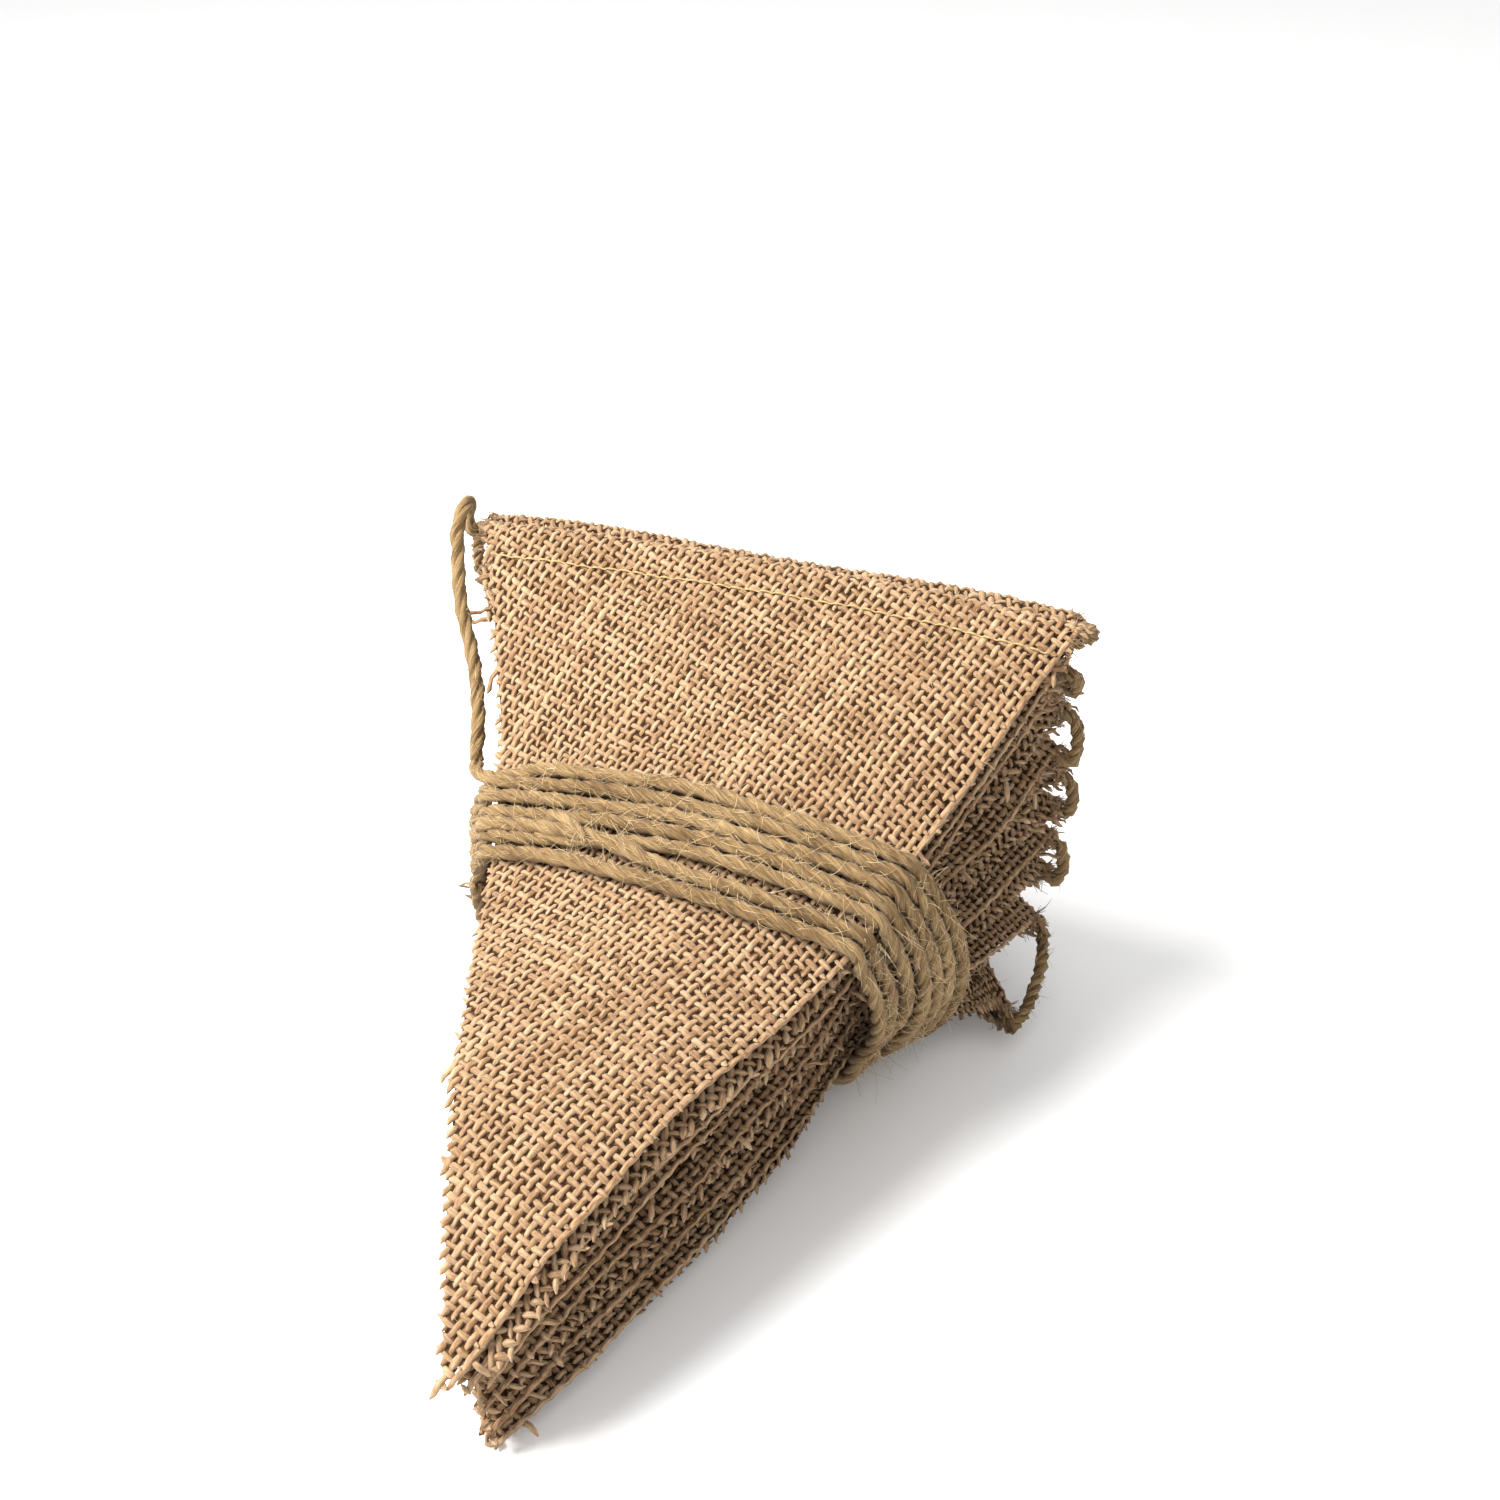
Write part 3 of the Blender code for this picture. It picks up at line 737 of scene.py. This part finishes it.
def winding_path(grids):
    """The middle line of all the turns, with its outward directions: one winding from far to near."""
    angles = np.linspace(-math.pi, math.pi, 721)
    offsets = np.arange(-15.0, 15.1, 1.0)
    radii = np.array([taut_radii(grids, offset, angles) for offset in offsets])
    stops, places, lifts = [], [], []
    for number, turn in enumerate(TURNS):
        for angle, place, lift in zip(TURN_ANGLES, turn.places, turn.lifts):
            stops.append(number + (TURN_ANGLES[0] - angle) / 360)
            places.append(place)
            lifts.append(lift)
    progress = np.linspace(0, WINDING_TURNS - 0.02, WINDING_TURNS * TURN_POINTS)
    soften = np.hanning(2 * (TURN_POINTS // 14) + 3)[1:-1]
    soften /= soften.sum()
    reach = len(soften) // 2
    offset, lift = (
        np.convolve(np.pad(np.interp(progress, stops, row), reach, mode="edge"), soften, "valid")
        for row in (places, lifts)
    )
    offset = offset + 0.25 * np.sin(progress * 19.0) + 0.15 * np.sin(progress * 47.0)
    lift = np.maximum(lift + 0.12 * np.sin(progress * 31.0), 0.0)
    bearing = np.radians(TURN_ANGLES[0]) - progress * 2 * math.pi
    bearing = (bearing + math.pi) % (2 * math.pi) - math.pi
    row = np.clip((offset - offsets[0]) / (offsets[1] - offsets[0]), 0, len(offsets) - 1.001)
    low = row.astype(int)
    column = (bearing + math.pi) / (angles[1] - angles[0])
    left = np.minimum(column.astype(int), len(angles) - 2)
    rise, slide = row - low, column - left
    radius = (
        radii[low, left] * (1 - rise) * (1 - slide)
        + radii[low + 1, left] * rise * (1 - slide)
        + radii[low, left + 1] * (1 - rise) * slide
        + radii[low + 1, left + 1] * rise * slide
    )
    origin, across, up, along = winding_axes()
    out = np.cos(bearing)[:, None] * across + np.sin(bearing)[:, None] * up
    centre = origin + WINDING_CENTRE[0] * across + WINDING_CENTRE[1] * up
    path = centre + (radius + lift)[:, None] * out + offset[:, None] * along
    path[:, 2] = np.maximum(path[:, 2], TWINE / 2)
    return path, along


def bridge(start, leaving, end, arriving, spacing):
    """Places on a smooth curve from one place and direction to another."""
    reach = np.linalg.norm(end - start)
    near, far = start + leaving * reach / 3, end - arriving * reach / 3
    share = np.linspace(0, 1, max(4, round(reach / spacing)))[:, None]
    rest = 1 - share
    return rest**3 * start + 3 * rest**2 * share * near + 3 * rest * share**2 * far + share**3 * end


def make_winding(grids, tail, material, hair, rng):
    """The turns round the waist, led in from the end of the tail, with their hairs."""
    path, along = winding_path(grids)
    path = path[TAIL_JOIN_POINT:]
    leaving, arriving = unit(tail[-1] - tail[-3]), unit(path[1] - path[0])
    path = np.vstack([bridge(tail[-2], leaving, path[0], arriving, 1.2)[:-1], path])
    ahead = tangents(path, np.arange(len(path)) < len(path) - 1)
    side = unit(along - ahead * (ahead @ along)[:, None])
    outward = np.cross(ahead, side)
    run = run_along(path)
    tone = 0.5 + 0.12 * np.sin(run / 37.0) + 0.08 * np.sin(run / 11.0)
    diameter = np.full(len(path), TWINE)
    strands = twist("twine_strands", path, side, outward, diameter, run, tone, 6, material)
    roots, away = hair_roots(path, side, outward, TWINE * 0.42, rng)
    ahead = np.repeat(ahead, 3, axis=0)
    fuzz = make_hairs("twine_fuzz", roots, ahead, away, 2000, 8.0, rng, hair)
    lint = make_hairs("twine_lint", roots, ahead, away, 1600, 6.0, rng, hair, rise=0.16, lean=0.16, curl=0.3)
    return strands, fuzz, lint


def make_loose_end(material, hair, rng):
    """The winding's frayed end, tapering to its tip."""
    line = smooth_route(LOOSE_END, 0.8)
    side, upward = carried_axes(line)
    diameter = TWINE * np.linspace(0.85, 0.45, len(line))
    tone = np.full(len(line), 0.7)
    end = twist("twine_end", line, side, upward, diameter, run_along(line), tone, 6, material)
    ahead = tangents(line, np.arange(len(line)) < len(line) - 1)
    tuft = make_hairs("twine_end_fuzz", line[-6:], ahead[-6:], upward[-6:], 60, 4.0, rng, hair, rise=0.4)
    return end, tuft


def channel_middle(index, u):
    """Middle of the cord inside a hem."""
    start, _, upward = hem_frame(index, u)
    return start - FOLD_RADIUS * upward


def cord_route():
    """The cord's middle line through all the hems, turning back at each side, and its loops' places alone."""
    across = np.array(COLUMN_PLACES) * PENNANT_WIDTH / 2
    route, loops = [], []
    for index in range(len(PENNANTS)):
        direction = 1 if index % 2 == 0 else -1
        run = channel_middle(index, across * direction)
        first, last = unit(run[0] - run[1]), unit(run[-1] - run[-2])
        run[0] += first * EXIT_RUN
        run[-1] += last * EXIT_RUN
        if route:
            above = route[-1]
            middle, half = (above + run[0]) / 2, (above - run[0]) / 2
            reach = LOOP_REACH + LOOP_REACH_SHARE * np.linalg.norm(half)
            outward = unit(leaving + first) * reach
            for angle in np.linspace(0, math.pi, LOOP_STEPS + 1)[1:-1]:
                route.append(middle + half * math.cos(angle) + outward * math.sin(angle))
                loops.append(route[-1])
        route += list(run)
        leaving = last
    return np.array(route), np.array(loops)


def make_hem_cord(material, hair, rng):
    """The cord in the hems, squeezed thin there and swelling to the twine's full size in its loops."""
    route, loops = cord_route()
    line = smooth_route(route, 1.3)
    side, upward = carried_axes(line)
    to_loop = np.min(np.linalg.norm(line[:, None] - loops[None], axis=2), axis=1)
    nearness = np.clip(1.5 - to_loop / 4.0, 0.0, 1.0)
    diameter = HEM_CORD + (TWINE - HEM_CORD) * nearness
    tone = np.full(len(line), 0.45)
    run = run_along(line)
    cord = twist("hem_cord_strands", line, side, upward, diameter, run, tone, 4, material, HEM_CORD_PITCH)
    free = nearness > 0.5
    ahead = tangents(line, np.arange(len(line)) < len(line) - 1)
    away = unit(rng.normal(size=(len(line), 3)))
    roots = (line + away * 1.3)[free]
    fuzz = make_hairs("hem_cord_fuzz", roots, ahead[free], away[free], 900, 3.6, rng, hair)
    return cord, fuzz


def make_tail(line, material, hair, rng):
    """The cord's free tail with its hairs."""
    side, upward = carried_axes(line)
    run = run_along(line)
    tone = np.full(len(line), 0.55)
    tail = twist("tail_strands", line, side, upward, np.full(len(line), TWINE), run, tone, 6, material)
    ahead = tangents(line, np.arange(len(line)) < len(line) - 1)
    away = unit(rng.normal(size=(len(line), 3)))
    fuzz = make_hairs("tail_fuzz", line + away * 1.4, ahead, away, 200, 4.5, rng, hair)
    return tail, fuzz


# Materials


def add_node(tree, kind, **settings):
    node = tree.nodes.new(kind)
    for key, value in settings.items():
        setattr(node, key, value)
    return node


def ramp_of(tree, stops):
    """A colour ramp from (place, colour) rows."""
    node = tree.nodes.new("ShaderNodeValToRGB")
    elements = node.color_ramp.elements
    while len(elements) < len(stops):
        elements.new(0.5)
    for element, (place, colour) in zip(elements, stops):
        element.position = place
        element.color = (*colour, 1.0)
    return node


def math_node(tree, operation, first, second=None, third=None):
    node = tree.nodes.new("ShaderNodeMath")
    node.operation = operation
    for socket, value in zip(node.inputs, (first, second, third)):
        if value is None:
            continue
        if isinstance(value, (int, float)):
            socket.default_value = value
        else:
            tree.links.new(value, socket)
    return node.outputs[0]


def thread_material(name, stops, streaks, roughness=0.9):
    """Fibrous thread: a tone of its own, patches, and long fibre streaks that also roughen it."""
    material = bpy.data.materials.new(name)
    material.use_nodes = True
    tree = material.node_tree
    shader = tree.nodes["Principled BSDF"]
    tone = add_node(tree, "ShaderNodeAttribute", attribute_name="tone")
    uv = add_node(tree, "ShaderNodeUVMap", uv_map="thread")
    stretch = add_node(tree, "ShaderNodeMapping")
    stretch.inputs["Scale"].default_value = streaks
    tree.links.new(uv.outputs["UV"], stretch.inputs["Vector"])
    fibre = add_node(tree, "ShaderNodeTexNoise")
    fibre.inputs["Scale"].default_value = 1.0
    fibre.inputs["Detail"].default_value = 4.0
    fibre.inputs["Roughness"].default_value = 0.65
    tree.links.new(stretch.outputs["Vector"], fibre.inputs["Vector"])
    place = add_node(tree, "ShaderNodeTexCoord")
    patch = add_node(tree, "ShaderNodeTexNoise")
    patch.inputs["Scale"].default_value = 90.0
    patch.inputs["Detail"].default_value = 3.0
    tree.links.new(place.outputs["Object"], patch.inputs["Vector"])
    mixed = math_node(tree, "MULTIPLY_ADD", fibre.outputs["Fac"], 1.5, -0.52)
    mixed = math_node(tree, "MULTIPLY_ADD", tone.outputs["Fac"], 0.42, mixed)
    mixed = math_node(tree, "MULTIPLY_ADD", patch.outputs["Fac"], 0.25, mixed)
    ramp = ramp_of(tree, stops)
    tree.links.new(mixed, ramp.inputs["Fac"])
    tree.links.new(ramp.outputs["Color"], shader.inputs["Base Color"])
    bump = add_node(tree, "ShaderNodeBump")
    bump.inputs["Strength"].default_value = 0.55
    bump.inputs["Distance"].default_value = 0.0004
    tree.links.new(fibre.outputs["Fac"], bump.inputs["Height"])
    tree.links.new(bump.outputs["Normal"], shader.inputs["Normal"])
    shader.inputs["Roughness"].default_value = roughness
    shader.inputs["Specular IOR Level"].default_value = 0.22
    shader.inputs["Sheen Weight"].default_value = 0.12
    shader.inputs["Sheen Roughness"].default_value = 0.5
    return material


def shade_sheet_material():
    """A plain weave drawn from the weave coordinates, as painted shade: yarns on top by turns, painted darker
    towards their edges, with dark holes of painted shadow between them.
    """
    material = bpy.data.materials.new("burlap_shade_sheet")
    material.use_nodes = True
    tree = material.node_tree
    shader = tree.nodes["Principled BSDF"]
    uv = add_node(tree, "ShaderNodeUVMap", uv_map="thread")
    split = add_node(tree, "ShaderNodeSeparateXYZ")
    tree.links.new(uv.outputs["UV"], split.inputs["Vector"])
    warp = math_node(tree, "COSINE", math_node(tree, "MULTIPLY", split.outputs["X"], math.pi))
    weft = math_node(tree, "COSINE", math_node(tree, "MULTIPLY", split.outputs["Y"], math.pi))
    warp_on_top = math_node(tree, "GREATER_THAN", math_node(tree, "MULTIPLY", warp, weft), 0.0)
    warp_shape = math_node(tree, "ABSOLUTE", warp)
    weft_shape = math_node(tree, "ABSOLUTE", weft)
    warp_part = math_node(tree, "MULTIPLY", warp_shape, warp_on_top)
    weft_part = math_node(tree, "MULTIPLY", weft_shape, math_node(tree, "SUBTRACT", 1.0, warp_on_top))
    shape = math_node(tree, "ADD", warp_part, weft_part)
    noise = add_node(tree, "ShaderNodeTexNoise")
    noise.inputs["Scale"].default_value = 2.4
    noise.inputs["Detail"].default_value = 4.0
    tree.links.new(uv.outputs["UV"], noise.inputs["Vector"])
    shade = math_node(tree, "MULTIPLY", shape, math_node(tree, "ADD", noise.outputs["Fac"], 0.35))
    # Painted shade: near black in the holes, dark brown at the yarns' edges, lighter at their middles.
    ramp = ramp_of(tree, (
        (0.0, (0.018, 0.008, 0.003)),
        (0.4, (0.045, 0.020, 0.008)),
        (0.66, (0.10, 0.052, 0.022)),
        (1.0, (0.17, 0.10, 0.047)),
    ))
    tree.links.new(shade, ramp.inputs["Fac"])
    tree.links.new(ramp.outputs["Color"], shader.inputs["Base Color"])
    bump = add_node(tree, "ShaderNodeBump")
    bump.inputs["Strength"].default_value = 0.8
    bump.inputs["Distance"].default_value = 0.0006
    tree.links.new(shape, bump.inputs["Height"])
    tree.links.new(bump.outputs["Normal"], shader.inputs["Normal"])
    shader.inputs["Roughness"].default_value = 0.95
    shader.inputs["Specular IOR Level"].default_value = 0.15
    return material


def plain_material(name, colour, roughness):
    material = bpy.data.materials.new(name)
    material.use_nodes = True
    shader = material.node_tree.nodes["Principled BSDF"]
    shader.inputs["Base Color"].default_value = (*colour, 1.0)
    shader.inputs["Roughness"].default_value = roughness
    return material


# The studio


def make_floor(material):
    side = 3.0
    mesh = bpy.data.meshes.new("floor")
    corners = [(-side, -side, -0.0004), (side, -side, -0.0004), (side, side, -0.0004), (-side, side, -0.0004)]
    mesh.from_pydata(corners, [], [(0, 1, 2, 3)])
    mesh.materials.append(material)
    floor = bpy.data.objects.new("floor", mesh)
    bpy.context.scene.collection.objects.link(floor)


def make_light(name, place, target, size, power, colour):
    data = bpy.data.lights.new(name, "AREA")
    data.shape = "DISK"
    data.size = size
    data.energy = power
    data.color = colour
    light = bpy.data.objects.new(name, data)
    light.location = place
    direction = np.array(target) - np.array(place)
    light.rotation_euler = look_along(direction)
    bpy.context.scene.collection.objects.link(light)


def look_along(direction):
    """Rotation that points an object's own -Z along a direction, with its top up."""
    x, y, z = direction
    level = math.hypot(x, y)
    return (math.atan2(level, -z), 0.0, math.atan2(-x, y))


def make_camera():
    data = bpy.data.cameras.new("camera")
    data.lens = CAMERA_LENS
    data.sensor_width = 36.0
    camera = bpy.data.objects.new("camera", data)
    place, target = in_scene(np.array([CAMERA_PLACE, CAMERA_TARGET]))
    camera.location = place
    camera.rotation_euler = look_along(target - place)
    bpy.context.scene.collection.objects.link(camera)
    bpy.context.scene.camera = camera


def make_world():
    world = bpy.data.worlds.new("studio")
    world.use_nodes = True
    background = world.node_tree.nodes["Background"]
    background.inputs["Color"].default_value = (1.0, 1.0, 1.0, 1.0)
    background.inputs["Strength"].default_value = 0.9
    bpy.context.scene.world = world


def ride_all(pieces):
    for piece in pieces:
        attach(piece, "root")


def main():
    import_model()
    bpy.context.scene.view_settings.view_transform = "Standard"
    make_camera()
    make_world()
    make_floor(plain_material("floor_white", (0.9, 0.9, 0.9), 0.85))
    make_light("key", (-0.55, -0.35, 0.85), (0.0, 0.02, 0.05), 0.6, 27.0, (1.0, 0.985, 0.965))
    make_light("fill", (0.75, -0.75, 0.65), (0.0, 0.0, 0.05), 0.9, 1.0, (1.0, 1.0, 1.0))
    burlap = thread_material("burlap_yarn", (
        (0.12, (0.10, 0.043, 0.017)),
        (0.38, (0.23, 0.128, 0.061)),
        (0.60, (0.34, 0.215, 0.116)),
        (0.9, (0.45, 0.32, 0.195)),
    ), (7.0, 0.45, 1.0))
    jute = thread_material("jute_twine", (
        (0.12, (0.040, 0.019, 0.007)),
        (0.4, (0.135, 0.079, 0.030)),
        (0.62, (0.24, 0.153, 0.066)),
        (0.92, (0.37, 0.26, 0.135)),
    ), (13.0, 0.22, 1.0))
    seam = thread_material("seam_thread", (
        (0.1, (0.25, 0.155, 0.05)),
        (0.5, (0.42, 0.285, 0.115)),
        (0.9, (0.56, 0.42, 0.21)),
    ), (4.0, 0.8, 1.0))
    hair = thread_material("jute_hair", (
        (0.1, (0.26, 0.16, 0.065)),
        (0.5, (0.58, 0.42, 0.22)),
        (0.9, (0.78, 0.62, 0.38)),
    ), (2.0, 0.6, 1.0), 0.6)
    shade_sheet_look = shade_sheet_material()

    grids = []
    for index in range(len(PENNANTS)):
        rng = np.random.default_rng(100 + index)
        # A dark sheet of painted shade under each pennant: it stands for the shadow seen through the weave's
        # holes.
        shade_sheet, grid = make_shade_sheet(index, shade_sheet_look)
        grids.append(grid)
        warp, centres, ahead, outward = make_yarns(index, "warp", burlap, rng)
        weft, _, _, _ = make_yarns(index, "weft", burlap, rng)
        seams = make_stitches(index, seam)
        count = 1400 if index == 0 else 220
        fuzz = make_hairs(f"fuzz_{index + 1:02d}", centres, ahead, outward, count, 3.0, rng, hair)
        tufts = make_hem_tufts(index, rng, burlap)
        trimmings = [warp, weft, fuzz, tufts, *seams]
        ride_all([shade_sheet, *trimmings])
        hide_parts(f"pennant_{index + 1:02d}")

    rng = np.random.default_rng(7)
    tail_line = smooth_route(TAIL_ROUTE, 1.0)
    strands, winding_fuzz, lint = make_winding(grids, tail_line, jute, hair, rng)
    cord, cord_fuzz = make_hem_cord(jute, hair, rng)
    tail, tail_fuzz = make_tail(tail_line, jute, hair, rng)
    end, end_fuzz = make_loose_end(jute, hair, rng)
    ride_all([strands, winding_fuzz, lint, end, end_fuzz, cord, cord_fuzz, tail, tail_fuzz])
    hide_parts("twine_winding")
    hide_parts("hem_cord")
    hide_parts("twine_run")


main()
